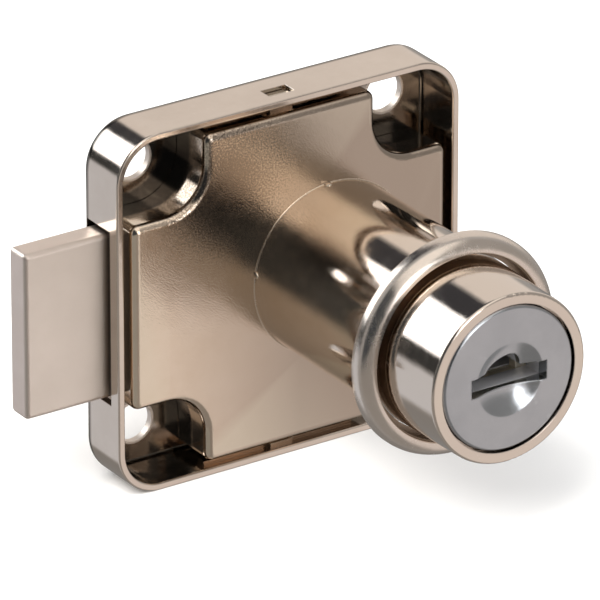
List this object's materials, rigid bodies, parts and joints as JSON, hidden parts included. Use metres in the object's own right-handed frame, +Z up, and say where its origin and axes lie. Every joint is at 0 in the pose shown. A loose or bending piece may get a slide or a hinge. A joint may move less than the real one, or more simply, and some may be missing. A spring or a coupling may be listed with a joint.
{
  "type": "drawer lock",
  "caption": "Square-case furniture drawer lock: a round keyed barrel turns half a turn to slide a flat bolt sideways; notched face plate, rimmed tray case and a loose trim ring.",
  "frame": {"origin": "on the barrel's axis, in the front face of the plate, which lies against the back of the drawer front", "axes": "+Z up; the barrel points along -Y, towards the person with the key; the bolt points along -X when thrown"},
  "size_m": [0.0508, 0.0386, 0.0396],
  "materials": {
    "nickel_sheet": "bright nickel plate with a warm champagne tint",
    "nickel_casting": "bright nickel plate on a die casting, slightly wavy",
    "satin_nickel": "grainy satin nickel plate",
    "zinc": "dull grey die casting",
    "stainless": "satin stainless, lightly stamped",
    "wafer_brass": "stamped brass",
    "spring_steel": "drawn wire"
  },
  "bodies": {
    "case": {"case_tray": "nickel_sheet", "lock_body": "nickel_casting"},
    "bolt": {"bolt": "satin_nickel"},
    "plug": {"plug": "zinc", "plug_cap": "stainless", "drive_cam": "zinc", "retaining_spring": "spring_steel", "wafer_spring_1": "spring_steel", "wafer_spring_2": "spring_steel", "wafer_spring_3": "spring_steel", "wafer_spring_4": "spring_steel", "wafer_spring_5": "spring_steel", "wafer_spring_6": "spring_steel"},
    "retainer": {"retaining_wafer": "wafer_brass"},
    "ring": {"trim_ring": "nickel_sheet"},
    "wafer_1": {"wafer_1": "wafer_brass"},
    "wafer_2": {"wafer_2": "wafer_brass"},
    "wafer_3": {"wafer_3": "wafer_brass"},
    "wafer_4": {"wafer_4": "wafer_brass"},
    "wafer_5": {"wafer_5": "wafer_brass"},
    "wafer_6": {"wafer_6": "wafer_brass"}
  },
  "joints": [
    {"name": "plug_turn", "type": "hinge", "parent": "case", "child": "plug", "pos_m": [0, 0, 0], "axis": [0, 1, 0], "range_deg": [0, 180]},
    {"name": "bolt_slide", "type": "slide", "parent": "case", "child": "bolt", "axis": [1, 0, 0], "range_m": [0, 0.0092]},
    {"name": "ring_slide", "type": "slide", "parent": "case", "child": "ring", "axis": [0, -1, 0], "range_m": [0, 0.02]},
    {"name": "retainer_slide", "type": "slide", "parent": "plug", "child": "retainer", "axis": [-1, 0, 0], "range_m": [0, 0.00085], "deforming": ["retaining_spring"]},
    {"name": "wafer_1_slide", "type": "slide", "parent": "plug", "child": "wafer_1", "axis": [-1, 0, 0], "range_m": [0, 0.0008], "deforming": ["wafer_spring_1"]},
    {"name": "wafer_2_slide", "type": "slide", "parent": "plug", "child": "wafer_2", "axis": [1, 0, 0], "range_m": [0, 0.0008], "deforming": ["wafer_spring_2"]},
    {"name": "wafer_3_slide", "type": "slide", "parent": "plug", "child": "wafer_3", "axis": [-1, 0, 0], "range_m": [0, 0.0008], "deforming": ["wafer_spring_3"]},
    {"name": "wafer_4_slide", "type": "slide", "parent": "plug", "child": "wafer_4", "axis": [1, 0, 0], "range_m": [0, 0.0008], "deforming": ["wafer_spring_4"]},
    {"name": "wafer_5_slide", "type": "slide", "parent": "plug", "child": "wafer_5", "axis": [-1, 0, 0], "range_m": [0, 0.0008], "deforming": ["wafer_spring_5"]},
    {"name": "wafer_6_slide", "type": "slide", "parent": "plug", "child": "wafer_6", "axis": [1, 0, 0], "range_m": [0, 0.0008], "deforming": ["wafer_spring_6"]}
  ],
  "couplings": [
    {"joint": "bolt_slide", "follows": "plug_turn", "m_per_rad": 0.002928}
  ]
}
